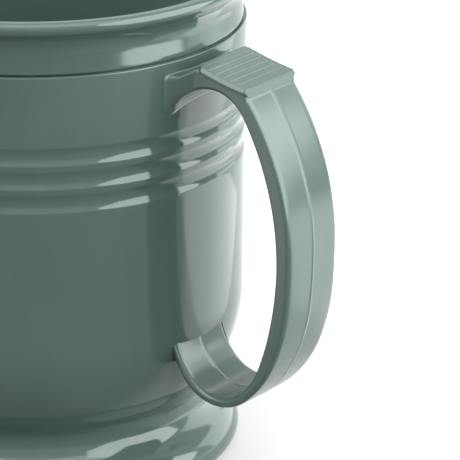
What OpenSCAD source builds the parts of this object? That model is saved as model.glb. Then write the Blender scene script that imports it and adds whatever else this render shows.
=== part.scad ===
// Insulated mug: an outer shell with a strap handle, and an inner liner whose rim collar
// is welded on the shell's top edge, with foam between the two.
// The mug's axis is Z, its foot stands on z = 0 and the handle points along +X.

/* [Body] */
// Height of the mug
mug_h = 97.4; // [92:0.1:106]
// Diameter of the straight wall
body_d = 80.8; // [74:0.1:90]
// Wall of the outer shell
shell_wall = 2.2; // [1.6:0.1:2.6]
// How far the band above the grooves stands out from the straight wall
band_step = 0.3; // [0.1:0.05:0.6]
// Rounding of the shell's top edge
top_edge_r = 0.35; // [0.2:0.05:0.5]

/* [Grooves] */
// Number of grooves round the body
groove_count = 3; // [1:1:4]
// Width of one groove
groove_w = 3.35; // [2:0.05:4]
// Depth of one groove
groove_depth = 0.4; // [0.2:0.05:0.7]
// Distance from one groove to the next
groove_pitch = 4.57; // [4.2:0.01:6]
// Drop from the joint to the upper edge of the highest groove
groove_drop = 13.8; // [10:0.1:18]

/* [Shoulder and foot] */
// Height at which the wall starts to curve in
shoulder_h = 33; // [31:0.5:36]
// Radius of the shoulder
shoulder_r = 30; // [28:0.5:36]
// Radius of the waist's hollow
waist_r = 5; // [4:0.1:6.5]
// How far the foot's widest line stands in from the straight wall
foot_inset = 0.7; // [0.2:0.05:1.5]
// Radius of the foot's roll above its widest line
foot_bulge_r = 4.4; // [3.5:0.1:5.5]
// Rounding under the foot
foot_edge_r = 3; // [2:0.1:3.5]
// Wall between the waist and the hollow under the base
hollow_wall = 2.5; // [1.8:0.1:4]
// Depth of the hollow under the base
recess_h = 12.5; // [11:0.5:13]
// How much the hollow under the base narrows towards its top
recess_draft = 1; // [0.2:0.1:2]
// Thickness of the shell's floor
floor_t = 2.5; // [1.8:0.1:3]
// Diameter of the foam filling hole in the floor
fill_hole_d = 12; // [8:0.5:16]

/* [Rim] */
// Height of the collar and lip above the joint
rim_h = 10.4; // [9:0.1:12]
// How far the lip stands out from the straight wall
lip_out = 2; // [1.5:0.1:3]
// Rounding of the lip
lip_r = 1.4; // [1.1:0.05:1.6]
// Radius of the hollow under the lip
cove_r = 4; // [3.2:0.1:4.6]
// Lean of the collar's band, in degrees
band_lean = 6.5; // [5:0.5:8]
// How far the collar's lower edge stands in from the shell's top edge
collar_inset = 0.55; // [0.4:0.05:0.7]
// Height of the fine groove at the joint
seam_gap = 0.45; // [0.3:0.05:0.7]
// Depth of that groove
seam_depth = 1.05; // [0.8:0.05:1.3]

/* [Liner] */
// Wall of the liner
liner_wall = 2; // [1.4:0.1:2.2]
// Space between the liner's wall and the shell at the joint
throat_gap = 0.6; // [0.3:0.1:1.5]
// How much the liner narrows from the joint down to its floor
liner_draft = 4.3; // [3:0.1:6]
// Height of the liner's inside floor
liner_floor_h = 22; // [21:0.5:26]
// Radius of the liner's inside floor corner
liner_corner_r = 7; // [5:0.5:10]
// Length of the collar's tongue inside the shell
tongue_h = 4; // [3:0.5:7]
// Gap between that tongue and the shell
tongue_gap = 0.1; // [0.05:0.01:0.2]

/* [Foam and plug] */
// Gap between the foam and the walls round it
foam_gap = 0.05; // [0.02:0.01:0.1]
// How far the plug's flange stands out round its hole
plug_lap = 2.5; // [1.5:0.1:5]
// Thickness of the plug's flange
plug_t = 1.5; // [1:0.1:2]
// Gap round the plug in its hole
plug_gap = 0.05; // [0.02:0.01:0.1]

/* [Handle strap] */
// Width of the strap
strap_w = 14.8; // [11:0.1:17]
// Reach of the strap's outer edges from the body
strap_out = 25.1; // [23:0.1:30]
// Thickness of the strap at its farthest point
strap_t = 3.1; // [2.6:0.1:3.6]
// How much the ridge along the middle of the strap stands up
strap_crown = 0.1; // [0:0.05:0.3]
// Rounding of the strap's edges
strap_edge_r = 0.7; // [0.4:0.05:0.9]
// Height of the handle's lowest point
tail_low_h = 20.5; // [19:0.1:24]
// Drop from the joint to the strap's farthest point
reach_drop = 33.8; // [32:0.1:36]
// How much lower the inner face's farthest point lies
inner_drop = 1.4; // [1:0.1:1.8]
// Radius of the outer face's side, below its farthest point
outer_side_r = 104; // [90:1:120]
// Radius of the outer face's bend
outer_bend_r = 39.5; // [36:0.5:43]
// Radius of the outer face's loop
outer_loop_r = 11; // [10:0.2:12]
// Radius of the outer face above its farthest point
outer_top_r = 48; // [44:0.5:54]
// Radius of the inner face's side, below its farthest point
inner_side_r = 60; // [55:1:66]
// Radius of the inner face's bend
inner_bend_r = 20; // [17:0.5:23]
// Radius of the inner face's loop
inner_loop_r = 8.5; // [8:0.1:9.2]
// Radius of the inner face above its farthest point
inner_top_r = 52.3; // [48:0.1:58]
// Radius of the arch under the thumb rest
arch_r = 8.5; // [8:0.02:9.5]

/* [Thumb rest] */
// Width of the thumb rest
rest_w = 15.8; // [12:0.1:18]
// Reach of the thumb rest's back edge from the body
rest_back = 4.1; // [3.5:0.1:5]
// Length of the thumb rest
rest_l = 11.2; // [10:0.1:12]
// Drop from the joint to the front edge of its hollow top
rest_drop = 2.4; // [2:0.1:3]
// Radius of its hollow top
rest_r = 66; // [60:1:72]
// How far in front of the thumb rest the arc of its hollow top is lowest
rest_ahead = 9; // [8:0.5:10]
// Drop from its back edge to the web behind it
rest_step = 0.6; // [0.3:0.1:1]
// Drop from the joint to the web's top where it meets the body
web_drop = 2.7; // [2:0.1:3.6]
// Radius of the web's flare against the body
web_flare_r = 3; // [1.5:0.1:4]
// Number of grip grooves across the thumb rest
grip_count = 5; // [3:1:7]
// Distance between grip grooves
grip_pitch = 1.38; // [1.2:0.02:1.5]
// Depth of a grip groove
grip_depth = 0.3; // [0.15:0.05:0.45]
// Width of the plain edge beside the grooves
grip_edge = 1.1; // [0.9:0.05:1.6]

/* [Hidden] */
$fn = 96;

// Turn of each stretch of the handle's faces, in degrees
outer_side_turn = 4.8;
outer_bend_turn = 30;
inner_side_turn = 20;
inner_bend_turn = 18;
inner_loop_turn = 102;
inner_top_turn = 31.1;
// Turn of the arch that lies behind the thumb rest's outer face, in degrees
arch_front_turn = 6;
// Gap at the two ends of the handle, where it is bonded to the shell
bond_gap = 0.03;
// Points on each arc
arc_n = 10;
// Share of the pitch that one grip groove takes
grip_share = 0.5;

seam_h = mug_h - rim_h;
body_r = body_d / 2;
band_r = body_r + band_step;
bore_r = body_r - shell_wall;
foot_r = body_r - foot_inset;
fill_hole_r = fill_hole_d / 2;
floor_h = recess_h + floor_t;
sage = "#6f8a80";
sage_light = "#7b958b";
foam_colour = "#e8dcae";

// Points of an arc round c, from angle a0 to angle a1
function arc(c, r, a0, a1, n = arc_n) =
    [for (i = [0:n]) let (a = a0 + (a1 - a0) * i / n) c + r * [cos(a), sin(a)]];

// Point at distances r1 and r2 from c1 and c2, on the outer side of the line between them
function meet(c1, r1, c2, r2) =
    let (d = norm(c2 - c1), u = (c2 - c1) / d, along = (r1 ^ 2 - r2 ^ 2 + d ^ 2) / (2 * d))
    c1 + along * u + sqrt(r1 ^ 2 - along ^ 2) * [-u.y, u.x];

function angle_of(v) = atan2(v.y, v.x);
function back_to_front(list) = [for (i = [len(list) - 1:-1:0]) list[i]];

// Outside of the shell

shoulder_c = [body_r - shoulder_r, shoulder_h];
foot_c = [foot_r - foot_bulge_r, foot_edge_r];
waist_c = meet(shoulder_c, shoulder_r + waist_r, foot_c, foot_bulge_r + waist_r);
shoulder_end = angle_of(waist_c - shoulder_c);
foot_end = angle_of(waist_c - foot_c);
groove_top_h = seam_h - groove_drop;
groove_low_h = groove_top_h - (groove_count - 1) * groove_pitch - groove_w;
seam_r = band_r;

// The wall grows to the band's radius from the lowest groove to the highest
function wall_r(z) =
    body_r + band_step * min(max((z - groove_low_h) / (groove_top_h - groove_low_h), 0), 1);

// Radius of the shell's outside on the shoulder, the wall and the band
function shell_r(z) = z > shoulder_h
    ? wall_r(z)
    : shoulder_c.x + sqrt(shoulder_r ^ 2 - (shoulder_h - z) ^ 2);

// One groove is an arc across its width, from its lower edge up
function groove(top) =
    let (r = (groove_w ^ 2 / 4 + groove_depth ^ 2) / (2 * groove_depth),
         mid = top - groove_w / 2,
         half = asin(groove_w / 2 / r),
         c = [wall_r(mid) - groove_depth + r, mid])
    arc(c, r, 180 + half, 180 - half);

shell_outline = concat(
    arc([foot_r - foot_edge_r, foot_edge_r], foot_edge_r, -90, 0),
    arc(foot_c, foot_bulge_r, 0, foot_end),
    arc(waist_c, waist_r, foot_end + 180, shoulder_end + 180),
    arc(shoulder_c, shoulder_r, shoulder_end, 0),
    [for (i = [groove_count - 1:-1:0]) each groove(groove_top_h - i * groove_pitch)],
    arc([seam_r - top_edge_r, seam_h - top_edge_r], top_edge_r, 0, 90));

// Inside of the shell, from the top down

inner_shoulder_r = shoulder_r - shell_wall;
inner_shoulder_end = -asin((shoulder_h - floor_h) / inner_shoulder_r);
ring_r = waist_c.x - waist_r - hollow_wall + recess_draft;

shell_bore = concat(
    [[bore_r, seam_h]],
    arc(shoulder_c, inner_shoulder_r, 0, inner_shoulder_end));

module outer_shell() {
    color(sage)
    rotate_extrude()
    polygon(concat(
        shell_outline,
        shell_bore,
        [[fill_hole_r, floor_h],
         [fill_hole_r, recess_h],
         [ring_r - recess_draft, recess_h],
         [ring_r, 0]]));
}

// Liner and its rim collar

collar_foot = [seam_r - collar_inset, seam_h + seam_gap];
band_along = [-sin(band_lean), cos(band_lean)];
band_face = [cos(band_lean), sin(band_lean)];
lip_c = [body_r + lip_out - lip_r, mug_h - lip_r];
// The hollow under the lip touches the collar's band and the lip's rounding
cove_from_lip = collar_foot + cove_r * band_face - lip_c;
cove_rise = -cove_from_lip * band_along
    - sqrt((cove_from_lip * band_along) ^ 2 - cove_from_lip * cove_from_lip + (cove_r + lip_r) ^ 2);
cove_c = collar_foot + cove_r * band_face + cove_rise * band_along;
cove_end = angle_of(lip_c - cove_c);

throat_r = bore_r - throat_gap - liner_wall;
liner_floor_r = throat_r - liner_draft;
liner_taper = liner_draft / (seam_h - liner_floor_h);
liner_lean = atan(liner_taper);
tongue_r = bore_r - tongue_gap;
tongue_end = seam_h - tongue_h;

// Inside radius of the liner below the joint
function liner_r(z) = liner_floor_r + liner_taper * (z - liner_floor_h);

// Outside of the liner's wall at a height
function liner_outer_r(z) = liner_r(z) + liner_wall / cos(liner_lean);

// Floor corner, tangent to the tapered wall and the floor, grown by the wall for the outside
function liner_corner(wall) =
    let (c = [liner_r(liner_floor_h + liner_corner_r) - liner_corner_r / cos(liner_lean),
              liner_floor_h + liner_corner_r])
    arc(c, liner_corner_r + wall, -90, -liner_lean);

module inner_liner() {
    color(sage_light)
    rotate_extrude()
    polygon(concat(
        [[0, liner_floor_h - liner_wall]],
        liner_corner(liner_wall),
        [[liner_outer_r(tongue_end), tongue_end],
         [tongue_r, tongue_end],
         [tongue_r, seam_h],
         [seam_r - seam_depth, seam_h],
         [seam_r - seam_depth, collar_foot.y],
         collar_foot],
        arc(cove_c, cove_r, 180 + band_lean, cove_end),
        arc(lip_c, lip_r, cove_end - 180, 180),
        [[throat_r, seam_h]],
        back_to_front(liner_corner(0)),
        [[0, liner_floor_h]]));
}

// Foam between the liner, the shell and the floor

module insulation_foam() {
    foam_top = tongue_end - foam_gap;
    foam_shoulder_r = inner_shoulder_r - foam_gap;
    foam_end = -asin((shoulder_h - floor_h - foam_gap) / foam_shoulder_r);
    color(foam_colour)
    rotate_extrude()
    polygon(concat(
        [[0, floor_h + foam_gap]],
        arc(shoulder_c, foam_shoulder_r, foam_end, 0),
        [[bore_r - foam_gap, foam_top],
         [liner_outer_r(foam_top) + foam_gap, foam_top]],
        back_to_front(liner_corner(liner_wall + foam_gap)),
        [[0, liner_floor_h - liner_wall - foam_gap]]));
}

// Plug in the foam filling hole

module base_plug() {
    color(sage)
    rotate_extrude()
    polygon([
        [0, recess_h - plug_t],
        [fill_hole_r + plug_lap, recess_h - plug_t],
        [fill_hole_r + plug_lap, recess_h],
        [fill_hole_r - plug_gap, recess_h],
        [fill_hole_r - plug_gap, floor_h],
        [0, floor_h]]);
}

// Handle: drawn out from the band's surface and down from the joint, as pairs of points
// on its outer and inner faces, and fitted between the joint and its lowest point

inner_out = strap_out - strap_t;
rest_front = rest_back + rest_l;
half_strap = strap_w / 2;
half_rest = rest_w / 2;

// Next arc of a face: it starts where the last one ends, at the same slope
function next_c(c, r, turn, r_next) = c + (r - r_next) * [cos(turn), sin(turn)];

outer_side_c = [strap_out - outer_side_r, -reach_drop];
outer_bend_c = next_c(outer_side_c, outer_side_r, -outer_side_turn, outer_bend_r);
outer_turn = outer_side_turn + outer_bend_turn;
outer_loop_c = next_c(outer_bend_c, outer_bend_r, -outer_turn, outer_loop_r);
outer_top_c = [strap_out - outer_top_r, -reach_drop];

inner_side_c = [inner_out - inner_side_r, -reach_drop - inner_drop];
inner_bend_c = next_c(inner_side_c, inner_side_r, -inner_side_turn, inner_bend_r);
inner_turn = inner_side_turn + inner_bend_turn;
inner_loop_c = next_c(inner_bend_c, inner_bend_r, -inner_turn, inner_loop_r);
inner_loop_end = -inner_turn - inner_loop_turn;
inner_top_c = [inner_out - inner_top_r, -reach_drop - inner_drop];
arch_c = next_c(inner_top_c, inner_top_r, inner_top_turn, arch_r);

handle_fit = (seam_h - tail_low_h) / (outer_loop_r - outer_loop_c.y);
function place(p) = [band_r + p.x * handle_fit, seam_h + p.y * handle_fit];

// Tail: the outer face keeps to its loop and the inner face runs straight on to the shell
tail_from = place(inner_loop_c + inner_loop_r * [cos(inner_loop_end), sin(inner_loop_end)]);
tail_slope = 1 / tan(inner_loop_end + 180);
loop_c = place(outer_loop_c);
loop_r = outer_loop_r * handle_fit;
tail_passes = 6;
function tail_in_z(x) = tail_from.y + (tail_from.x - x) * tail_slope;
function tail_out_z(x) = loop_c.y - sqrt(max(loop_r ^ 2 - (loop_c.x - x) ^ 2, 0));
function tail_in_x(y, x = body_r, n = tail_passes) =
    n == 0 ? x : tail_in_x(y, sqrt((shell_r(tail_in_z(x)) + bond_gap) ^ 2 - y ^ 2), n - 1);
function tail_out_x(y, x = body_r, n = tail_passes) =
    n == 0 ? x : tail_out_x(y, sqrt((shell_r(tail_out_z(x)) + bond_gap) ^ 2 - y ^ 2), n - 1);
tail_out_end = angle_of([tail_out_x(0), tail_out_z(tail_out_x(0))] - loop_c);

// Thumb rest: its hollow top between the back edge and the outer face
rest_c = [rest_front + rest_ahead, sqrt(rest_r ^ 2 - rest_ahead ^ 2) - rest_drop];
function rest_z(x) = rest_c.y - sqrt(rest_r ^ 2 - (rest_c.x - x) ^ 2);
web_slope = (rest_z(rest_back) - rest_step + web_drop) / rest_back;
function web_z(x) = -web_drop + web_slope * x;
crease_z = outer_top_c.y + sqrt(outer_top_r ^ 2 - (rest_front - outer_top_c.x) ^ 2);
crease_angle = angle_of([rest_front, crease_z] - outer_top_c);

// Grip grooves, set towards the front of the thumb rest's top
grip_mid = (rest_back + rest_front + grip_pitch) / 2;
grip_from = grip_mid - (grip_count - 1) / 2 * grip_pitch;
grip_half = grip_pitch * grip_share / 2;

// Half width of the web, which flares in a quarter round against the body
function web_half(x) =
    let (d = min(x, web_flare_r))
    half_strap + web_flare_r - sqrt(web_flare_r ^ 2 - (web_flare_r - d) ^ 2);

// Stations of the top: [x, z, half width, depth of the grip groove there]
web_shares = [0.08, 0.25, 0.5, 0.75, 1];
top_stations = concat(
    [for (s = web_shares) let (x = rest_back * s) [x, web_z(x), web_half(x), 0]],
    [[rest_back, rest_z(rest_back), half_rest, 0]],
    [for (i = [0:grip_count - 1]) let (x = grip_from + i * grip_pitch) each [
        [x - grip_half, rest_z(x - grip_half), half_rest, 0],
        [x, rest_z(x), half_rest, grip_depth],
        [x + grip_half, rest_z(x + grip_half), half_rest, 0]]],
    [[rest_front, -rest_drop, half_rest, 0],
     [rest_front, crease_z, half_rest, 0]]);

// The arch under the top, from the body round to the strap
arch_from = 180 - acos(arch_c.x / arch_r);
arch_last = inner_top_turn + arch_front_turn;
function arch_point(x) =
    let (a = arch_from + (arch_last - arch_from) * x / rest_front)
    arch_c + arch_r * [cos(a), sin(a)];
arch_end = arch_c + arch_r * [cos(inner_top_turn), sin(inner_top_turn)];

// Stations along the whole handle: [outer point, inner point, half width, groove depth]
function pairs(outer, inner) =
    [for (i = [1:len(outer) - 1]) [outer[i], inner[i], half_strap, 0]];

half_n = arc_n / 2;
inner_bend_line = concat(
    arc(inner_side_c, inner_side_r, -inner_side_turn / 2, -inner_side_turn, half_n),
    [for (i = [1:half_n]) arc(inner_bend_c, inner_bend_r, -inner_side_turn, -inner_turn, half_n)[i]]);

drawn_stations = concat(
    [for (t = top_stations) [[t[0], t[1]], arch_point(t[0]), t[2], t[3]]],
    [[[rest_front, crease_z], arch_end, half_strap, 0]],
    pairs(arc(outer_top_c, outer_top_r, crease_angle, 0),
          arc(inner_top_c, inner_top_r, inner_top_turn, 0)),
    pairs(arc(outer_side_c, outer_side_r, 0, -outer_side_turn, 3),
          arc(inner_side_c, inner_side_r, 0, -inner_side_turn / 2, 3)),
    pairs(arc(outer_bend_c, outer_bend_r, -outer_side_turn, -outer_turn), inner_bend_line),
    pairs(arc(outer_loop_c, outer_loop_r, -outer_turn, tail_out_end, arc_n * 2),
          arc(inner_loop_c, inner_loop_r, -inner_turn, inner_loop_end, arc_n * 2)));
stations = [for (s = drawn_stations) [place(s[0]), place(s[1]), s[2], s[3]]];

// Columns across the width: a rounded edge, a plain edge, and the crowned middle
edge_steps = [90, 45, 0];
function column_ys(w) = let (
    side = concat([for (a = edge_steps) w - strap_edge_r + strap_edge_r * sin(a)], [w - grip_edge, w / 2]))
    concat(-side, [0], back_to_front(side));

// How far a face stands from its edge line at y: crown towards the middle, rounding at the edge
function face_lift(y, w) =
    let (past = max(abs(y) - (w - strap_edge_r), 0))
    strap_crown * (1 - abs(y) / w) - (strap_edge_r - sqrt(max(strap_edge_r ^ 2 - past ^ 2, 0)));

function ring(s) =
    let (o = s[0], i = s[1], w = s[2], out = (o - i) / norm(o - i), ys = column_ys(w))
    concat(
        [for (y = ys) let (p = o + out * (face_lift(y, w) - (abs(y) <= w - grip_edge ? s[3] : 0)))
            [p.x, y, p.y]],
        [for (y = -ys) let (p = i - out * face_lift(y, w)) [p.x, y, p.y]]);

// First and last ring lie on the shell
root_half = half_strap + web_flare_r;
web_h = seam_h - web_drop * handle_fit;
arch_pc = place(arch_c);
arch_pr = arch_r * handle_fit;
function root_x(y) = sqrt((band_r + bond_gap) ^ 2 - y ^ 2);
function root_low(x) = arch_pc.y + sqrt(max(arch_pr ^ 2 - (arch_pc.x - x) ^ 2, 0));
function root_ring() =
    let (ys = column_ys(root_half))
    concat(
        [for (y = ys) [root_x(y), y, web_h + face_lift(y, root_half)]],
        [for (y = -ys) let (x = root_x(y)) [x, y, root_low(x) - face_lift(y, root_half)]]);
function tail_ring() =
    let (ys = column_ys(half_strap))
    concat(
        [for (y = ys) let (x = tail_out_x(y)) [x, y, tail_out_z(x) - face_lift(y, half_strap)]],
        [for (y = -ys) let (x = tail_in_x(y)) [x, y, tail_in_z(x) + face_lift(y, half_strap)]]);

rings = concat([root_ring()], [for (s = stations) ring(s)], [tail_ring()]);
ring_n = len(rings[0]);
column_n = ring_n / 2;

function ring_at(k, i) = k * ring_n + i % ring_n;
// Side faces between rings, then the two ends, each as pairs of triangles
side_faces = [for (k = [0:len(rings) - 2], i = [0:ring_n - 1]) each [
    [ring_at(k, i), ring_at(k, i + 1), ring_at(k + 1, i + 1)],
    [ring_at(k, i), ring_at(k + 1, i + 1), ring_at(k + 1, i)]]];
function end_faces(k) = [for (i = [0:column_n - 2]) each [
    [ring_at(k, i), ring_at(k, ring_n - 1 - i), ring_at(k, ring_n - 2 - i)],
    [ring_at(k, i), ring_at(k, ring_n - 2 - i), ring_at(k, i + 1)]]];
function turned(faces) = [for (f = faces) [f[0], f[2], f[1]]];

module handle() {
    color(sage)
    polyhedron(
        [for (r = rings) each r],
        concat(side_faces, end_faces(0), turned(end_faces(len(rings) - 1))));
}

outer_shell();
handle();
inner_liner();
insulation_foam();
base_plug();
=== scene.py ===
import bpy
import numpy as np
from math import radians
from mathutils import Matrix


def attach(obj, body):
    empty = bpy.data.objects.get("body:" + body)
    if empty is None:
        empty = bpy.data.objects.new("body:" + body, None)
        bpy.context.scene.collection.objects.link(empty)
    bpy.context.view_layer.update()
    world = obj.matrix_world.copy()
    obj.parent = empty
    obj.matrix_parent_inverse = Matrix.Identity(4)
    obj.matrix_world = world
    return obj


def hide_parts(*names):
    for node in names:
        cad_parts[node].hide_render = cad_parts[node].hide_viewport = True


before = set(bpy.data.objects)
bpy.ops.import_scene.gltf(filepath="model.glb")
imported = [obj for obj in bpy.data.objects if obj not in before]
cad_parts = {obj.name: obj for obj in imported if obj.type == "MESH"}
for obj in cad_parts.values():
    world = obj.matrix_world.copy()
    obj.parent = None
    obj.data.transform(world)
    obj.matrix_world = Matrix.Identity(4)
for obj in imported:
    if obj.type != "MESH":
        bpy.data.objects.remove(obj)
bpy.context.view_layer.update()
millimetre = 0.001
print("frame:", ", ".join(sorted(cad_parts)))


# unit vectors at angles in degrees
def heading(turn):
    a = np.radians(turn)
    return np.stack([np.cos(a), np.sin(a)], -1)


# angle of a vector in degrees
def angleOf(vector):
    return np.degrees(np.arctan2(vector[1], vector[0]))


# points of an arc round a centre, from one angle to another in degrees
def arcLine(centre, radius, fromDeg, toDeg, count=24):
    return np.array(centre) + radius * heading(np.linspace(fromDeg, toDeg, count + 1))


# a bend from a to c that leans on the corner b: the quadratic blend of the three points
def bendLine(a, b, c, count=16):
    t = np.linspace(0, 1, count + 1)[:, None]
    return (1 - t) ** 2 * np.array(a) + 2 * t * (1 - t) * np.array(b) + t ** 2 * np.array(c)


# a line redrawn at even steps and averaged with a bell curve, which rounds its corners as a mould does,
# then thinned to a number of points that crowd where the line turns
def softLine(points, soft, keep, closed, step=0.04, bellReach=4, crowding=2.2):
    p = np.concatenate([points, points[:1]]) if closed else np.asarray(points, float)
    s = np.concatenate([[0], np.cumsum(np.linalg.norm(np.diff(p, axis=0), axis=1))])
    even = np.linspace(0, s[-1], int(s[-1] / step) + 1)
    q = np.stack([np.interp(even, s, p[:, k]) for k in (0, 1)], 1)
    reach = int(bellReach * soft / step)
    bell = np.exp(-0.5 * (np.arange(-reach, reach + 1) * step / soft) ** 2)
    bell /= bell.sum()
    if closed:
        long = np.concatenate([q[-reach - 1:-1], q, q[1:reach + 1]])
    else:
        long = np.concatenate([2 * q[0] - q[reach:0:-1], q, 2 * q[-1] - q[-2:-reach - 2:-1]])
    q = np.stack([np.convolve(long[:, k], bell, "valid") for k in (0, 1)], 1)
    d = np.diff(q, axis=0)
    turn = np.abs(np.diff(np.unwrap(np.arctan2(d[:, 1], d[:, 0]))))
    gain = 1 / len(even) + crowding * np.concatenate([[0], turn]) / max(turn.sum(), 1e-9)
    m = np.concatenate([[0], np.cumsum(gain)])
    at = np.linspace(0, m[-1], keep + 1 if closed else keep)
    q = np.stack([np.interp(at, m, q[:, k]) for k in (0, 1)], 1)
    return q[:-1] if closed else q


# a mesh piece in millimetres, its faces turned so that the volume they hold comes out positive
def addPiece(name, points, faces, node):
    points = np.asarray(points, float) * millimetre
    firstHalf = np.array([f[:3] for f in faces])
    secondHalf = np.array([[f[0], f[2], f[3]] for f in faces if len(f) == 4])
    tri = np.concatenate([firstHalf, secondHalf])
    a, b, c = (points[tri[:, k]] for k in range(3))
    if np.einsum("ij,ij->", a, np.cross(b, c)) < 0:
        faces = [f[::-1] for f in faces]
    mesh = bpy.data.meshes.new(name)
    mesh.from_pydata(points.tolist(), [], faces)
    mesh.polygons.foreach_set("use_smooth", np.ones(len(mesh.polygons), bool))
    mesh.validate()
    mesh.update()
    piece = bpy.data.objects.new(name, mesh)
    bpy.context.scene.collection.objects.link(piece)
    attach(piece, "root")
    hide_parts(node)
    print(name, len(points), "points", len(faces), "faces")
    return piece


# quads of a grid of point numbers, joined round in either direction where asked
def gridFaces(index, roundRows, roundCols):
    if roundRows:
        index = np.concatenate([index, index[:1]])
    if roundCols:
        index = np.concatenate([index, index[:, :1]], 1)
    corners = [index[:-1, :-1], index[1:, :-1], index[1:, 1:], index[:-1, 1:]]
    return np.stack(corners, -1).reshape(-1, 4).tolist()


# a line of (radius, height) turned about the Z axis; ends on the axis become single points
def turnedPiece(name, line, turns, closed, node):
    a = np.linspace(0, 2 * np.pi, turns, endpoint=False)[:, None]
    inner = line if closed else line[1:-1]
    r, z = inner.T
    grid = np.stack(np.broadcast_arrays(r * np.cos(a), r * np.sin(a), z), -1)
    index = np.arange(grid.size // 3).reshape(turns, -1)
    points = grid.reshape(-1, 3)
    faces = gridFaces(index, True, closed)
    if not closed:
        first, last = len(points), len(points) + 1
        points = np.concatenate([points, [[0, 0, line[0, 1]], [0, 0, line[-1, 1]]]])
        beside = np.roll(index, -1, 0)
        faces += [[first, int(p), int(q)] for p, q in zip(beside[:, 0], index[:, 0])]
        faces += [[last, int(p), int(q)] for p, q in zip(index[:, -1], beside[:, -1])]
    return addPiece(name, points, faces, node)


# outer shell

shellSize = dict(
    wall=40.4, band=40.7, thick=2.2, seam=86.75, topEdge=0.17,
    grooveTop=73.2, groovePitch=4.57, grooveWidth=3.35, grooveDepth=0.4, grooves=3,
    shoulderHeight=33.0, shoulderRadius=30.0, waistRadius=5.0,
    foot=39.7, footBulge=4.4, footEdge=3.0, hollowWall=2.5,
    recessHeight=12.5, recessDraft=1.0, floor=2.5, fillHole=6.0,
    soft=0.13, points=320, turns=288)


# half section of the shell: up the outside by arcs of the foot, waist, shoulder and grooves,
# over the top edge, down the bore, across the floor to the filling hole and back under it
def shellLine(k):
    shoulder = np.array([k["wall"] - k["shoulderRadius"], k["shoulderHeight"]])
    foot = np.array([k["foot"] - k["footBulge"], k["footEdge"]])
    # the waist's hollow touches the shoulder and the foot from outside
    r1, r2 = k["shoulderRadius"] + k["waistRadius"], k["footBulge"] + k["waistRadius"]
    across = foot - shoulder
    gap = np.linalg.norm(across)
    along = (r1 ** 2 - r2 ** 2 + gap ** 2) / (2 * gap)
    beside = np.sqrt(r1 ** 2 - along ** 2)
    waist = shoulder + across / gap * along + np.array([-across[1], across[0]]) / gap * beside
    shoulderEnd, footEnd = angleOf(waist - shoulder), angleOf(waist - foot)
    # grooves: arcs of one radius, in a wall that leans out from the lowest to the highest
    low = k["grooveTop"] - (k["grooves"] - 1) * k["groovePitch"] - k["grooveWidth"]
    radius = (k["grooveWidth"] ** 2 / 4 + k["grooveDepth"] ** 2) / (2 * k["grooveDepth"])
    half = np.degrees(np.arcsin(k["grooveWidth"] / 2 / radius))
    grooves = []
    for i in range(k["grooves"])[::-1]:
        mid = k["grooveTop"] - i * k["groovePitch"] - k["grooveWidth"] / 2
        wall = k["wall"] + (k["band"] - k["wall"]) * (mid - low) / (k["grooveTop"] - low)
        grooves.append(arcLine((wall - k["grooveDepth"] + radius, mid), radius, 180 + half, 180 - half))
    topEdge = arcLine((k["band"] - k["topEdge"], k["seam"] - k["topEdge"]), k["topEdge"], 0, 90)
    floorTop = k["recessHeight"] + k["floor"]
    bore = k["shoulderRadius"] - k["thick"]
    boreEnd = -np.degrees(np.arcsin((k["shoulderHeight"] - floorTop) / bore))
    ring = waist[0] - k["waistRadius"] - k["hollowWall"] + k["recessDraft"]
    return np.concatenate([
        arcLine((k["foot"] - k["footEdge"], k["footEdge"]), k["footEdge"], -90, 0),
        arcLine(foot, k["footBulge"], 0, footEnd),
        arcLine(waist, k["waistRadius"], footEnd + 180, shoulderEnd + 180),
        arcLine(shoulder, k["shoulderRadius"], shoulderEnd, 0),
        *grooves, topEdge,
        [[k["wall"] - k["thick"], k["seam"]]],
        arcLine(shoulder, bore, 0, boreEnd),
        [[k["fillHole"], floorTop], [k["fillHole"], k["recessHeight"]],
         [ring - k["recessDraft"], k["recessHeight"]], [ring, 0]]])


shellOutline = softLine(shellLine(shellSize), shellSize["soft"], shellSize["points"], True)
shell = turnedPiece("outerShell", shellOutline, shellSize["turns"], True, "outer_shell")

# inner liner with its collar, cove and rolled lip

linerSize = dict(
    seam=86.75, seamRadius=40.7, inset=0.55, seamGap=0.4, seamDepth=1.05, lean=6.5,
    height=97.4, lip=42.4, lipRadius=1.4, lipLean=23.3, coveRadius=4.5,
    throat=35.6, throatRise=0.55, throatDrop=6.0,
    floorRadius=31.3, floorHeight=22.0, corner=7.0, thick=2.0,
    tongue=38.1, tongueHeight=4.0, soft=0.1, points=300, turns=288)


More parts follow.
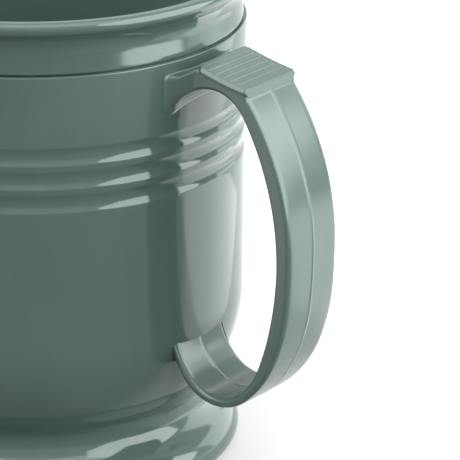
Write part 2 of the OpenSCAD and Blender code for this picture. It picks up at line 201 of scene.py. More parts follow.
# half section of the liner: out under its floor, up the outside to the tongue and the seam,
# over the collar's cove and the lip's bead, and down the tapered inside to the floor
def linerLine(k):
    foot = np.array([k["seamRadius"] - k["inset"], k["seam"] + k["seamGap"]])
    up, face = heading(k["lean"] + 90), heading(k["lean"])
    lip = np.array([k["lip"] - k["lipRadius"], k["height"] - k["lipRadius"]])
    # the cove touches the collar's band and the lip's bead
    v = foot + k["coveRadius"] * face - lip
    rise = -v @ up - np.sqrt((v @ up) ** 2 - v @ v + (k["coveRadius"] + k["lipRadius"]) ** 2)
    cove = foot + k["coveRadius"] * face + rise * up
    coveEnd = angleOf(lip - cove)
    taper = (k["throat"] - k["floorRadius"]) / (k["seam"] - k["floorHeight"])
    tilt = np.arctan(taper)
    cornerHeight = k["floorHeight"] + k["corner"]
    cornerCentre = (k["floorRadius"] + taper * k["corner"] - k["corner"] / np.cos(tilt), cornerHeight)
    tongueEnd = k["seam"] - k["tongueHeight"]
    outer = k["floorRadius"] + taper * (tongueEnd - k["floorHeight"]) + k["thick"] / np.cos(tilt)
    seamInside = k["seamRadius"] - k["seamDepth"]
    bead = arcLine(lip, k["lipRadius"], coveEnd - 180, 180 - k["lipLean"])
    throat = np.array([k["throat"], k["seam"]])
    throatFrom = throat + (bead[-1] - throat) * k["throatRise"]
    throatTo = throat - np.array([taper, 1]) * k["throatDrop"]
    return np.concatenate([
        [[0, k["floorHeight"] - k["thick"]]],
        arcLine(cornerCentre, k["corner"] + k["thick"], -90, -np.degrees(tilt)),
        [[outer, tongueEnd], [k["tongue"], tongueEnd], [k["tongue"], k["seam"]],
         [seamInside, k["seam"]], [seamInside, foot[1]], foot],
        arcLine(cove, k["coveRadius"], 180 + k["lean"], coveEnd), bead,
        bendLine(throatFrom, throat, throatTo),
        arcLine(cornerCentre, k["corner"], -np.degrees(tilt), -90),
        [[0, k["floorHeight"]]]])


linerOutline = softLine(linerLine(linerSize), linerSize["soft"], linerSize["points"], False)
liner = turnedPiece("innerLiner", linerOutline, linerSize["turns"], False, "inner_liner")

# plug in the floor, with a shallow dish in its flange

plugSize = dict(
    hole=5.95, flange=8.5, low=11.0, seat=12.5, top=15.0, dish=4.5, dishDepth=0.5, dishSlope=0.6,
    soft=0.12, points=90, turns=96)


# half section of the plug: its dish, its flange, and the shank that fills the hole
def plugLine(k):
    dishTop = k["low"] + k["dishDepth"]
    return np.array([
        [0, dishTop], [k["dish"], dishTop], [k["dish"] + k["dishSlope"], k["low"]],
        [k["flange"], k["low"]], [k["flange"], k["seat"]],
        [k["hole"], k["seat"]], [k["hole"], k["top"]], [0, k["top"]]])


plugOutline = softLine(plugLine(plugSize), plugSize["soft"], plugSize["points"], False)
plug = turnedPiece("basePlug", plugOutline, plugSize["turns"], False, "base_plug")

# handle: a strap carried from the web round to the tail, with a thumb rest set on its top

strapSize = dict(
    body=40.7, reach=65.95, thick=3.2, half=7.6, edge=0.9,
    crown=0.08, bead=0.08, beadWidth=0.22, crownUnderRest=0.4,
    reachHeight=53.2, innerDrop=1.4, innerTopDrop=0.3,
    outerTop=48.0, outerSide=104.0, outerSideTurn=4.8, outerBend=39.5, outerBendTurn=18.0,
    outerKnee=26.0, outerKneeTurn=26.0, outerLoop=9.7, outerEndBack=9.1, outerEndDrop=5.9,
    innerTop=52.3, innerTopTurn=31.1, arch=8.5, archOverlap=5.0, innerSide=60.0, innerSideTurn=20.0,
    innerBend=20.0, innerBendTurn=18.0, innerLoop=8.5, innerLoopTurn=102.0,
    webTop=84.3, flare=0.7, taper=1.4, rootHalf=10.3, rootLow=8.6, rootEdge=1.3, rootRise=0.1,
    boss=0.3, bossRim=0.24, sink=0.12, tailRise=1.9, tailPower=4,
    creaseBack=0.7, creaseIn=0.1, creaseDrop=0.7)
# points along the strap's stretches and round its section
strapCount = dict(
    web=19, webCrowding=2, underRest=26, crease=8, top=60, side=14, bend=22, knee=22, loop=70,
    tail=15, boss=6, face=25, faceCrowding=1.6, edge=6, flank=5, settle=12)
restSize = dict(
    back=44.8, front=56.0, height=84.5, hollow=66.0, ahead=9.0, half=7.9, step=0.6, low=82.0,
    grooves=5, pitch=1.6, depth=0.3, grooveSpan=0.3, firstGroove=47.3,
    rim=0.85, rimFade=0.25, recess=0.03, panelBack=0.9, panelFront=1.05, panelFade=0.35,
    edge=0.3, sideEdge=0.62, sideDrop=0.78, cornerRadius=1.3, frontCorner=0.6,
    lip=0.9, notch=0.2, notchTop=0.1, notchEnd=0.22, belowNotch=0.34, belowNotchIn=0.08,
    chamfer=1.65, chamferHeight=0.4, chamferIn=0.16, underIn=0.5, leastFall=0.02,
    nose=3.2, baseIn=0.6, baseDrop=0.1, lengthCount=170, acrossCount=45, edgeCount=9, baseCount=7)


# middle of the arc that goes on from another at a turn in degrees: both lie on the same radius
def nextCentre(centre, radius, turn, nextRadius):
    return centre + (radius - nextRadius) * heading(turn)


# hollow top of the thumb rest: an arc whose lowest point is a little in front of it
def restTop(x):
    k = restSize
    rise = np.sqrt(k["hollow"] ** 2 - k["ahead"] ** 2)
    return k["height"] + rise - np.sqrt(k["hollow"] ** 2 - (k["front"] + k["ahead"] - x) ** 2)


# radius of the shell at a height: an arc on the shoulder, the plain wall above it
def shellRadius(z):
    k = shellSize
    below = k["shoulderRadius"] ** 2 - (k["shoulderHeight"] - z) ** 2
    shoulder = k["wall"] - k["shoulderRadius"] + np.sqrt(np.maximum(below, 0))
    return np.where(z > k["shoulderHeight"], k["wall"], shoulder)


# height of the arch under the web at x: its circle, and its middle's height past the circle's side
def archHeight(k, arch, x):
    return arch[1] + np.sqrt(np.maximum(k["arch"] ** 2 - (arch[0] - x) ** 2, 0))


# pairs of points on the strap's two faces: arcs of the outer face,
# and arcs of the inner face cut into as many parts
def strapStations(k, count):
    innerReach, innerHeight = k["reach"] - k["thick"], k["reachHeight"] - k["innerDrop"]
    outerTop = np.array([k["reach"] - k["outerTop"], k["reachHeight"]])
    outerSide = np.array([k["reach"] - k["outerSide"], k["reachHeight"]])
    outerBend = nextCentre(outerSide, k["outerSide"], -k["outerSideTurn"], k["outerBend"])
    kneeFrom = k["outerSideTurn"] + k["outerBendTurn"]
    outerKnee = nextCentre(outerBend, k["outerBend"], -kneeFrom, k["outerKnee"])
    loopFrom = kneeFrom + k["outerKneeTurn"]
    outerLoop = nextCentre(outerKnee, k["outerKnee"], -loopFrom, k["outerLoop"])
    outerEnd = angleOf((-k["outerEndBack"], -k["outerEndDrop"]))
    innerTop = np.array([innerReach - k["innerTop"], innerHeight - k["innerTopDrop"]])
    arch = nextCentre(innerTop, k["innerTop"], k["innerTopTurn"], k["arch"])
    innerSide = np.array([innerReach - k["innerSide"], innerHeight])
    innerBend = nextCentre(innerSide, k["innerSide"], -k["innerSideTurn"], k["innerBend"])
    innerTurn = k["innerSideTurn"] + k["innerBendTurn"]
    innerLoop = nextCentre(innerBend, k["innerBend"], -innerTurn, k["innerLoop"])
    innerEnd = -innerTurn - k["innerLoopTurn"]

    # outer face: the web's top, a stretch under the thumb rest, a crease, then arcs down to the tail
    back, front = restSize["back"], restSize["front"]
    root = k["body"] + k["boss"]
    webX = root + (back - root) * np.linspace(0, 1, count["web"]) ** count["webCrowding"]
    webRise = restTop(back) - restSize["step"] - k["webTop"]
    webZ = k["webTop"] + webRise * (webX - k["body"]) / (back - k["body"])
    underX = np.linspace(back, front - k["creaseBack"], count["underRest"])[1:]
    under = np.stack([underX, restTop(underX) - restSize["step"]], 1)
    crease = np.degrees(np.arccos((front - outerTop[0]) / k["outerTop"]))
    creaseEnd = outerTop + k["outerTop"] * heading(crease)
    creaseMid = (front - k["creaseIn"], restTop(front) - k["creaseDrop"])
    outer = np.concatenate([
        np.stack([webX, webZ], 1), under,
        bendLine(under[-1], creaseMid, creaseEnd, count["crease"])[1:],
        arcLine(outerTop, k["outerTop"], crease, 0, count["top"])[1:],
        arcLine(outerSide, k["outerSide"], 0, -k["outerSideTurn"], count["side"])[1:],
        arcLine(outerBend, k["outerBend"], -k["outerSideTurn"], -kneeFrom, count["bend"])[1:],
        arcLine(outerKnee, k["outerKnee"], -kneeFrom, -loopFrom, count["knee"])[1:],
        arcLine(outerLoop, k["outerLoop"], -loopFrom, outerEnd, count["loop"])[1:]])

    # inner face: the arch under the web and the rest, then arcs down to the tail
    archFrom = 180 - np.degrees(np.arccos((arch[0] - webX[0]) / k["arch"]))
    archTo = k["innerTopTurn"] + k["archOverlap"]
    archShare = (np.concatenate([webX, underX]) - webX[0]) / (front - webX[0])
    sideMid = -k["innerSideTurn"] / 2
    inner = np.concatenate([
        arch + k["arch"] * heading(archFrom + (archTo - archFrom) * archShare),
        arcLine(arch, k["arch"], archTo, k["innerTopTurn"], count["crease"])[1:],
        arcLine(innerTop, k["innerTop"], k["innerTopTurn"], 0, count["top"])[1:],
        arcLine(innerSide, k["innerSide"], 0, sideMid, count["side"])[1:],
        arcLine(innerSide, k["innerSide"], sideMid, -k["innerSideTurn"], count["bend"])[1:],
        arcLine(innerBend, k["innerBend"], -k["innerSideTurn"], -innerTurn, count["knee"])[1:],
        arcLine(innerLoop, k["innerLoop"], -innerTurn, innerEnd, count["loop"])[1:]])
    tailFrom = innerLoop + k["innerLoop"] * heading(innerEnd)
    tailSlope = 1 / np.tan(radians(innerEnd + 180))
    return outer, inner, dict(arch=arch, loop=outerLoop, tailFrom=tailFrom, tailSlope=tailSlope)


# columns round a strap's section: across the outer face, round its edge, down the side,
# and the same on the inner face; each has its y, its share of the way from the outer to the inner face,
# and the rise of the rounded edge over its face
def strapColumns(count, half, halfIn, edge):
    half, halfIn, edge = (np.asarray(v, float)[:, None] for v in (half, halfIn, edge))
    e = np.radians(np.linspace(0, 90, count["edge"] + 1))[1:]
    face = np.linspace(-1, 1, count["face"])
    face = np.sign(face) * np.abs(face) ** count["faceCrowding"]
    down = np.linspace(0, 1, count["flank"] + 2)[1:-1]
    faceY, faceInY = face * (half - edge), face[::-1] * (halfIn - edge)
    edgeY = half - edge + edge * np.sin(e)
    edgeInY = halfIn - edge + edge * np.sin(e[::-1])
    sideY = halfIn + (half - halfIn) * np.sqrt(1 - down ** 3)
    drop = edge * (1 - np.cos(e))
    sideLift = edge * (2 * down - 1)
    y = np.concatenate([
        faceY, edgeY, sideY, edgeInY,
        faceInY, -edgeInY[:, ::-1], -sideY[:, ::-1], -edgeY[:, ::-1]], 1)
    lift = np.concatenate([
        0 * faceY, -drop, sideLift, drop[:, ::-1],
        0 * faceInY, drop, sideLift[:, ::-1], -drop[:, ::-1]], 1)
    onFace, onEdge = np.zeros(count["face"]), np.zeros(count["edge"])
    share = np.concatenate([onFace, onEdge, down, onEdge + 1, onFace + 1, onEdge + 1, down[::-1], onEdge])
    return y, share * np.ones_like(half), lift


# how far each column stands off its face: a low roof with a fine bead along its ridge,
# and nothing on the sides
def crownLift(k, y, share, half):
    half = np.asarray(half, float)[:, None]
    roof = k["crown"] * np.clip(1 - np.abs(y) / half, 0, 1)
    bead = k["bead"] * np.exp(-(y / k["beadWidth"]) ** 2)
    return (roof + bead) * np.where(share == 0, 1, np.where(share == 1, -1, 0))


# root on the shell: rings of a low boss with a rounded rim, whose lower line follows the arch
def rootRings(k, count, arch):
    turn = np.radians(np.linspace(0, 90, count["boss"]))
    proud = np.append(-k["sink"], k["boss"] - k["bossRim"] * (1 - np.sin(turn)))[:, None]
    wide = k["bossRim"] * np.append(1, np.cos(turn))
    edge = np.full(len(wide), k["rootEdge"])
    y, share, lift = strapColumns(count, k["rootHalf"] + wide, k["rootLow"] + wide, edge)
    x = np.sqrt((k["body"] + proud) ** 2 - y ** 2)
    low = archHeight(k, arch, x) - wide[:, None]
    high = k["webTop"] + k["rootRise"] + wide[:, None]
    return np.stack([x, y, high + lift + (low - high) * share], -1)


# tail on the shell: each column runs on along its own face until it meets the shell,
# and the upper face swells up to it in a fillet
def tailRings(k, count, at, last):
    y, share, lift = strapColumns(count, [k["half"]], [k["half"]], [k["edge"]])
    up = (lift + crownLift(k, y, share, [k["half"]]))[0]
    y, share = y[0], share[0]
    slopeLength = np.hypot(1, at["tailSlope"])
    x = np.full(len(up), k["body"])
    for step in range(count["settle"]):  # x and z settle on the line where faces and shell meet
        loopDrop = np.sqrt(np.maximum((k["outerLoop"] + up) ** 2 - (at["loop"][0] - x) ** 2, 0))
        zOut = at["loop"][1] - loopDrop
        zIn = at["tailFrom"][1] + (at["tailFrom"][0] - x) * at["tailSlope"] - up * slopeLength
        z = zOut + (zIn - zOut) * share
        x = np.sqrt((shellRadius(z) - k["sink"]) ** 2 - y ** 2)
    s = np.linspace(0, 1, count["tail"])[1:, None, None]
    rings = last * (1 - s) + np.stack([x, y, z], 1) * s
    rings[..., 2] += k["tailRise"] * s[..., 0] ** k["tailPower"] * share
    return rings


# strap: its section set across each pair of points, with rings that meet the shell at the root and the tail
def strapRings(k, count):
    outer, inner, at = strapStations(k, count)
    isWeb = np.arange(len(outer)) < count["web"]
    # the web widens evenly towards the body, and flares in a quarter round where it meets it
    fromRoot = outer[:, 0] - outer[0, 0]
    toFlare = np.where(isWeb, 1 - np.clip(fromRoot / k["flare"], 0, 1), 0)
    flare = 1 - np.sqrt(1 - toFlare ** 2)
    taper = np.where(isWeb, 1 - fromRoot / (restSize["back"] - outer[0, 0]), 0)
    widened = k["half"] + k["taper"] * taper
    half = widened + flare * (k["rootHalf"] - k["half"] - k["taper"])
    halfIn = widened + flare * (k["rootLow"] - k["half"] - k["taper"])
    edge = np.full(len(outer), k["edge"])
    edge[isWeb] = np.linspace(k["rootEdge"], k["edge"], count["web"])
    y, share, lift = strapColumns(count, half, halfIn, edge)
    crown = crownLift(k, y, share, half)
    crown[:count["web"] + count["underRest"] - 1] *= k["crownUnderRest"]
    out = (outer - inner) / np.linalg.norm(outer - inner, axis=1, keepdims=True)
    part = share[..., None]
    place = outer[:, None] * (1 - part) + inner[:, None] * part + out[:, None] * (lift + crown)[..., None]
    # near the body the web's rings bend round it, and their lower side goes on down the arch
    x, z = place[..., 0], place[..., 1]
    bend = toFlare[:, None] ** 2
    bentX = x - bend * (k["body"] - np.sqrt(k["body"] ** 2 - y ** 2))
    further = archHeight(k, at["arch"], bentX) - archHeight(k, at["arch"], x)
    rings = np.stack([bentX, y, z + np.where(bend > 0, share * further, 0)], -1)
    return np.concatenate([rootRings(k, count, at["arch"]), rings[1:], tailRings(k, count, at, rings[-1])])


# thumb rest: sections across the handle, from its back edge to its outer face
def restRings(k):
    e = np.radians(np.linspace(0, 90, k["edgeCount"]))
    backX = k["back"] + k["edge"] * (1 - np.sin(e[::-1]))
    along = np.linspace(k["back"] + k["edge"], k["front"] - k["edge"], k["lengthCount"])[1:-1]
    frontX = k["front"] - k["edge"] * (1 - np.sin(e))
    x = np.concatenate([backX, along, frontX])
    rounding = k["edge"] * (1 - np.cos(e))
    fall = np.concatenate([rounding[::-1], 0 * along, rounding])
    # half width: the corners at the back and at the front are rounded
    half = k["half"] + 0 * x
    for radius, fromEnd in ((k["cornerRadius"], x - k["back"]), (k["frontCorner"], k["front"] - x)):
        near = np.clip(radius - fromEnd, 0, radius)
        half = half - (radius - np.sqrt(radius ** 2 - near ** 2))
    # along: a cosine hollow at each pitch, in a panel that lies a little lower
    centres = k["firstGroove"] + k["pitch"] * np.arange(k["grooves"])
    u = np.clip(np.abs(x[:, None] - centres).min(1) / (k["pitch"] * k["grooveSpan"] / 2), 0, 1)
    fromBack = (x - k["back"] - k["panelBack"]) / k["panelFade"]
    fromFront = (k["front"] - k["panelFront"] - x) / k["panelFade"]
    panel = np.clip(fromBack, 0, 1) * np.clip(fromFront, 0, 1)
    sunk = k["depth"] * (1 + np.cos(np.pi * u)) / 2 + k["recess"] * panel
    # across: a flat rim, a short slope down, and the panel
    level, crest, wide = restTop(x)[:, None], (restTop(x) - fall)[:, None], half[:, None]
    flatY = np.linspace(-1, 1, k["acrossCount"]) * (wide - k["sideEdge"])
    inside = np.clip((wide - k["rim"] - np.abs(flatY)) / k["rimFade"], 0, 1)
    inside = inside * inside * (3 - 2 * inside)
    top = crest - sunk[:, None] * inside
    # side: a slope, then a lip, a notch under it and a chamfer, each with its inset and its depth
    edgeShare = np.array([0.11, 0.23, 0.42, 0.61, 0.81, 0.92, 0.98, 1.0])
    dropShare = np.array([0.025, 0.09, 0.27, 0.46, 0.67, 0.82, 0.92, 1.0])
    edgeY = wide - k["sideEdge"] * (1 - edgeShare)
    edgeZ = crest - k["sideDrop"] * dropShare
    inset = np.array([0, k["notch"], k["notch"], k["belowNotchIn"], k["chamferIn"], k["underIn"]])
    depth = np.array([
        k["lip"], k["lip"] + k["notchTop"], k["lip"] + k["notchEnd"], k["lip"] + k["belowNotch"],
        k["chamfer"] - k["chamferHeight"], k["chamfer"]])
    sideY = wide - inset
    sideZ = np.minimum(level - depth, edgeZ[:, -1:] - k["leastFall"] * np.arange(1, len(depth) + 1))
    # underside: inside the strap, and sloping down at the nose
    lowEnd = np.maximum(restTop(x) - k["chamfer"], k["low"])
    noseFrom = k["front"] - k["nose"]
    nose = np.interp(x, [noseFrom, k["front"]], [lowEnd[np.searchsorted(x, noseFrom)], k["low"]])
    under = np.where(x > noseFrom, nose, lowEnd) - k["baseDrop"]
    baseY = np.linspace(1, -1, k["baseCount"])[1:-1] * (wide - k["baseIn"])
    baseZ = under[:, None] + 0 * baseY
    y = np.concatenate([flatY, edgeY, sideY, baseY, -sideY[:, ::-1], -edgeY[:, ::-1]], 1)
    z = np.concatenate([top, edgeZ, sideZ, baseZ, sideZ[:, ::-1], edgeZ[:, ::-1]], 1)
    return np.stack([np.broadcast_to(x[:, None], y.shape), y, z], -1)


# rings of points joined into a closed skin, each end closed by a flat of drawn-in rings
# and a fan to its middle
def ringSkin(rings, start, drawnIn=(0.97, 0.85)):
    middles = rings[[0, -1]].mean(1)
    first = [middles[0] + (rings[0] - middles[0]) * share for share in drawnIn[::-1]]
    last = [middles[1] + (rings[-1] - middles[1]) * share for share in drawnIn]
    rings = np.concatenate([first, rings, last])
    rows, columns = rings.shape[:2]
    index = np.arange(rows * columns).reshape(rows, columns) + start
    faces = gridFaces(index, False, True)
    points = np.concatenate([rings.reshape(-1, 3), rings[[0, -1]].mean(1)])
    firstMid, lastMid = start + rows * columns, start + rows * columns + 1
    faces += [[firstMid, int(p), int(q)] for p, q in zip(index[0], np.roll(index[0], -1))]
    faces += [[lastMid, int(q), int(p)] for p, q in zip(index[-1], np.roll(index[-1], -1))]
    return points, faces


strapPoints, strapFaces = ringSkin(strapRings(strapSize, strapCount), 0)
restPoints, restFaces = ringSkin(restRings(restSize), len(strapPoints))
handlePoints = np.concatenate([strapPoints, restPoints])
handle = addPiece("handle.strap", handlePoints, strapFaces + restFaces, "handle")


# shader sums written as expressions: a wrapped socket with the operators that are used

class Sock:
    def __init__(self, tree, out):
        self.tree, self.out = tree, out

    def node(self, kind, settings=(), **links):
        made = self.tree.nodes.new(kind)
        for key, value in dict(settings).items():
            if key == "stops":  # a new ramp has two
                for element, (at, colour) in zip(made.color_ramp.elements, value):
                    element.position, element.color = at, (*colour, 1)
            else:
                setattr(made, key, value)
        for key, value in links.items():
            isNumber = key[0] == "i" and key[1:].isdigit()
            socket = made.inputs[int(key[1:]) if isNumber else key.replace("_", " ")]
            if isinstance(value, Sock):
                value.feed(socket)
            else:
                socket.default_value = value
        return made

    def of(self, made, name=0):
        return Sock(self.tree, made.outputs[name])

    def feed(self, socket):
        self.tree.links.new(self.out, socket)

    def place(self):
        return self.of(self.node("ShaderNodeTexCoord"), "Object")

    def shader(self, name):
        return self.tree.nodes["Principled BSDF"].inputs[name]

    def ramp(self, *stops):
        return self.of(self.node("ShaderNodeValToRGB", {"stops": stops}, Fac=self), "Color")

    def maths(self, operation, a, b):
        return self.of(self.node("ShaderNodeMath", {"operation": operation}, i0=a, i1=b))

    def __add__(self, other): return self.maths("ADD", self, other)
    def __radd__(self, other): return self.maths("ADD", other, self)
    def __mul__(self, other): return self.maths("MULTIPLY", self, other)
    def __rmul__(self, other): return self.maths("MULTIPLY", other, self)


# a material, and an empty socket to write its sums with
def newMaterial(name):
    material = bpy.data.materials.new(name)
    material.use_nodes = True
    return material, Sock(material.node_tree, None)


# moulded plastic: two close tones in soft clouds, fine specks, a slight unevenness of the gloss
# and a faint waviness of the skin
def mouldedPlastic(name, look):
    material, base = newMaterial(name)
    place = base.place()
    stretched = base.of(base.node("ShaderNodeMapping", {}, Vector=place, Scale=look["flow"]))

    def cloud(vector, size, detail):
        settings = dict(Scale=size, Detail=detail, Roughness=look["cloudRough"])
        return base.of(base.node("ShaderNodeTexNoise", {}, Vector=vector, **settings), "Fac")

    broad = cloud(place, look["cloudScale"], 3.0)
    flow = cloud(stretched, look["flowScale"], 4.0)
    speck = cloud(place, look["speckScale"], 2.0)
    tone = broad * look["cloudShare"] + flow * look["flowShare"] + speck * look["speckShare"]
    colour = tone.ramp((look["darkAt"], look["dark"]), (look["lightAt"], look["light"]))
    colour.feed(base.shader("Base Color"))
    smear = cloud(place, look["smearScale"], 5.0)
    rough = smear * look["roughSpread"] + (look["rough"] - 0.5 * look["roughSpread"])
    rough.feed(base.shader("Roughness"))
    wave = cloud(place, look["waveScale"], 1.0)
    height = wave * look["wave"] + speck * look["grain"] + flow * look["flowHeight"]
    bump = base.node("ShaderNodeBump", {}, Height=height, Distance=look["bump"], Strength=1.0)
    base.of(bump, "Normal").feed(base.shader("Normal"))
    base.shader("IOR").default_value = look["ior"]
    base.shader("Specular Tint").default_value = (*look["sheen"], 1)
    return material


sage = dict(
    dark=(0.0495, 0.079, 0.0675), light=(0.0585, 0.092, 0.0793), darkAt=0.36, lightAt=0.64,
    cloudScale=28.0, cloudShare=0.55, cloudRough=0.55,
    flow=(1.0, 1.0, 0.12), flowScale=190.0, flowShare=0.3, flowHeight=0.03,
    speckScale=1400.0, speckShare=0.15, grain=0.02,
    smearScale=60.0, rough=0.085, roughSpread=0.05,
    waveScale=55.0, wave=1.0, bump=0.00006, ior=1.54, sheen=(0.91, 1.0, 0.955))
handleLook = dict(
    sage, rough=0.2, roughSpread=0.1, flow=(1.0, 1.0, 0.2), flowHeight=0.05, waveScale=90.0, grain=0.01)
for piece, slot, look in (
        (shell, "outer_shell", sage),
        (liner, "inner_liner", dict(sage, rough=0.1)),
        (handle, "handle", handleLook),
        (plug, "base_plug", dict(sage, rough=0.2, roughSpread=0.1))):
    piece.data.materials.append(mouldedPlastic("sage." + slot, look))

foamLook = dict(
    cellScale=900.0, dark=(0.55, 0.46, 0.25), pale=(0.80, 0.72, 0.46), paleAt=0.6, bump=0.0004, rough=0.9)


# rigid foam: round cells, each lower in its middle, with painted shade there: the colour darkens towards
# each cell's middle as if shade fell in the hollow
def foamCellsPaintedShade(name, look):
    material, base = newMaterial(name)
    cells = base.node("ShaderNodeTexVoronoi", {}, Vector=base.place(), Scale=look["cellScale"])
    fromMiddle = base.of(cells, "Distance")
    # painted shade: the colour is darker where the cell is lower
    colour = fromMiddle.ramp((0.0, look["dark"]), (look["paleAt"], look["pale"]))
    colour.feed(base.shader("Base Color"))
    bump = base.node("ShaderNodeBump", {}, Height=fromMiddle, Distance=look["bump"])
    base.of(bump, "Normal").feed(base.shader("Normal"))
    base.shader("Roughness").default_value = look["rough"]
    return material


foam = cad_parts["insulation_foam"]
foam.data.materials.clear()
foam.data.materials.append(foamCellsPaintedShade("foam.cellsPaintedShade", foamLook))
print("materials done")

# camera at the photograph's angle

viewSize = dict(
    place=(0.402339, -0.479489, 0.279210), turn=(69.26210, -0.39109, 36.68815),
    lens=268.768, sensor=36.0, near=0.01, far=50.0)
camera = bpy.data.objects.new("camera", bpy.data.cameras.new("camera"))
camera.location = viewSize["place"]
camera.rotation_euler = [radians(a) for a in viewSize["turn"]]
camera.data.lens, camera.data.sensor_width = viewSize["lens"], viewSize["sensor"]
camera.data.clip_start, camera.data.clip_end = viewSize["near"], viewSize["far"]
bpy.context.scene.collection.objects.link(camera)
bpy.context.scene.camera = camera

# floor of pale paper with painted shade: its colour darkens towards the camera's side, and a white room

viewAround = -50.0  # degrees round from +X to the camera's side
floorSize = dict(
    half=6.0, pale=0.61, shadedGrey=0.2, fadeFrom=-0.040, fadeTo=-0.024,
    leftAlong=(-0.798, 0.6), leftFrom=-0.01, leftTo=0.02, rough=0.95)


# a direction on the floor: so much to the right of the camera's line, so much away from it
def floorAlong(right, away):
    a = radians(viewAround)
    return (-right * np.sin(a) - away * np.cos(a), right * np.cos(a) - away * np.sin(a), 0)


# share of the way from one distance to another, along a direction on the floor and eased at its ends
def floorFade(place, along, start, end):
    distance = place.node("ShaderNodeVectorMath", {"operation": "DOT_PRODUCT"}, i0=place, i1=along)
    eased = {"interpolation_type": "SMOOTHSTEP"}
    reached = place.of(distance, "Value")
    return place.of(place.node("ShaderNodeMapRange", eased, i0=reached, i1=start, i2=end))


h = floorSize["half"]
floorMesh = bpy.data.meshes.new("floor")
floorMesh.from_pydata([(-h, -h, 0), (h, -h, 0), (h, h, 0), (-h, h, 0)], [], [(0, 1, 2, 3)])
floor = bpy.data.objects.new("floor", floorMesh)
bpy.context.scene.collection.objects.link(floor)
paper, base = newMaterial("floor.paperPaintedShade")
place = base.place()
# painted shade: the floor's colour is darker on the camera's side, except to the left, standing in for the
# shade that falls on the floor there
behind = floorFade(place, floorAlong(0.0, 1.0), floorSize["fadeFrom"], floorSize["fadeTo"])
left = floorFade(place, floorAlong(*floorSize["leftAlong"]), floorSize["leftFrom"], floorSize["leftTo"])
unshadedShare = base.maths("MAXIMUM", behind, left)
paperWithPaintedShade = unshadedShare.ramp((0.0, [floorSize["shadedGrey"]] * 3), (1.0, [floorSize["pale"]] * 3))
paperWithPaintedShade.feed(base.shader("Base Color"))
base.shader("Roughness").default_value = floorSize["rough"]
base.shader("Specular IOR Level").default_value = 0.0
floorMesh.materials.append(paper)

# the room lights the object at one strength, and is seen as white by the camera and in mirrored rays
roomGlow = dict(onObject=0.62, seen=1.0)
world = bpy.data.worlds.new("studio")
bpy.context.scene.world = world
world.use_nodes = True
base = Sock(world.node_tree, None)
room = world.node_tree.nodes["Background"]
room.inputs["Color"].default_value = (1, 1, 1, 1)
room.inputs["Strength"].default_value = roomGlow["onObject"]
path = base.node("ShaderNodeLightPath")
seen = [base.of(path, "Is %s Ray" % name) for name in ("Camera", "Glossy", "Transmission")]
seen = base.maths("MAXIMUM", base.maths("MAXIMUM", seen[0], seen[1]), seen[2])
white = base.node("ShaderNodeBackground", {}, Color=(1, 1, 1, 1), Strength=roomGlow["seen"])
mixed = base.of(base.node("ShaderNodeMixShader", {}, Fac=seen, i1=base.of(room), i2=base.of(white)))
mixed.feed(world.node_tree.nodes["World Output"].inputs["Surface"])

lampMiddle = 0.05  # height that the lamps face, about the mug's middle
lampClear = 0.001  # height of the lamps laid on the floor


# a flat lamp that faces the mug's middle: its place by degrees round from the camera's side, degrees up
# and distance, then its size, and its glow as a multiple of white
def addPanel(name, around, up, away, width, height, glow):
    a, e = radians(viewAround + around), radians(up)
    lamp = bpy.data.lights.new(name, "AREA")
    lamp.shape, lamp.size, lamp.size_y = "RECTANGLE", width, height
    lamp.energy = glow * np.pi * width * height
    panel = bpy.data.objects.new(name, lamp)
    level = away * np.cos(e)
    panel.location = (level * np.cos(a), level * np.sin(a), away * np.sin(e) + lampMiddle)
    panel.rotation_euler = (np.pi / 2 - e, 0, a + np.pi / 2)
    panel.visible_camera = False
    bpy.context.scene.collection.objects.link(panel)
    return panel


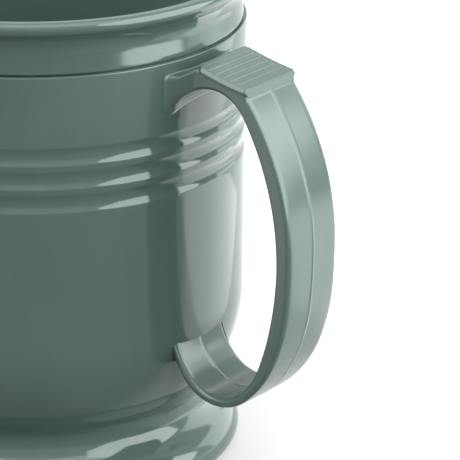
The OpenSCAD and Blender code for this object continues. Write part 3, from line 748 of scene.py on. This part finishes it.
# a lamp laid on the floor, facing up: the middle of its front edge, to the right of the camera's line
# and away from it, the turn of that edge in radians, then its length and depth
def addTablePanel(name, right, away, slant, width, height, glow):
    panel = addPanel(name, 0, 0, 0, width, height, glow)
    along = np.array(floorAlong(np.cos(slant), np.sin(slant)))
    behind = np.array(floorAlong(-np.sin(slant), np.cos(slant)))
    middle = np.array(floorAlong(right, away)) + behind * height / 2
    panel.location = (middle[0], middle[1], lampClear)
    panel.rotation_euler = (np.pi, 0, np.arctan2(along[1], along[0]))


# a soft box of eight sides: a flat mesh that glows and isn't seen by the camera, placed as the flat
# lamps are; reach is the degrees from its middle to its sides, and roll turns it about its middle
def addSoftBox(name, around, up, away, reach, roll, glow, sides=8):
    a, e = radians(viewAround + around), radians(up)
    toLamp = np.array([np.cos(e) * np.cos(a), np.cos(e) * np.sin(a), np.sin(e)])
    across = np.array([-np.sin(a), np.cos(a), 0])
    rise = np.cross(toLamp, across)
    t = np.radians(roll + 360 / sides * (np.arange(sides) + 0.5))[:, None]
    radius = away * np.tan(radians(reach)) / np.cos(np.pi / sides)
    middle = np.array([0, 0, lampMiddle]) + away * toLamp
    corners = middle + radius * (np.cos(t) * across + np.sin(t) * rise)
    mesh = bpy.data.meshes.new(name)
    mesh.from_pydata(corners.tolist(), [], [tuple(range(sides))])
    box = bpy.data.objects.new(name, mesh)
    bpy.context.scene.collection.objects.link(box)
    box.visible_camera = False
    cloth, base = newMaterial(name)
    glowing = base.of(base.node("ShaderNodeEmission", {}, Color=(1, 1, 1, 1), Strength=glow))
    glowing.feed(cloth.node_tree.nodes["Material Output"].inputs["Surface"])
    mesh.materials.append(cloth)


addSoftBox("lamp.key", 66.5, 23.0, 0.48, 31.0, 20.0, 6.3)
addPanel("lamp.fill", -85, 38, 1.0, 1.2, 0.9, 4.0)
addPanel("lamp.top", -5, 65, 1.1, 1.2, 0.9, 2.2)
addPanel("lamp.back", 185, 52, 1.2, 1.1, 0.6, 1.2)
addPanel("lamp.sweep", 131, 13, 0.72, 0.55, 0.44, 2.2)
addTablePanel("lamp.table", 0.328, -0.087, -0.32, 0.34, 0.30, 1.15)
addTablePanel("lamp.tableNear", 0.1238, -0.020, -0.32, 0.09, 0.12, 1.0)
addTablePanel("lamp.tableFront", 0.1238, -0.020, -0.32, 0.09, 0.05, 0.4)
print("camera, floor, room and lamps done")

bpy.context.scene.view_settings.view_transform = "Standard"
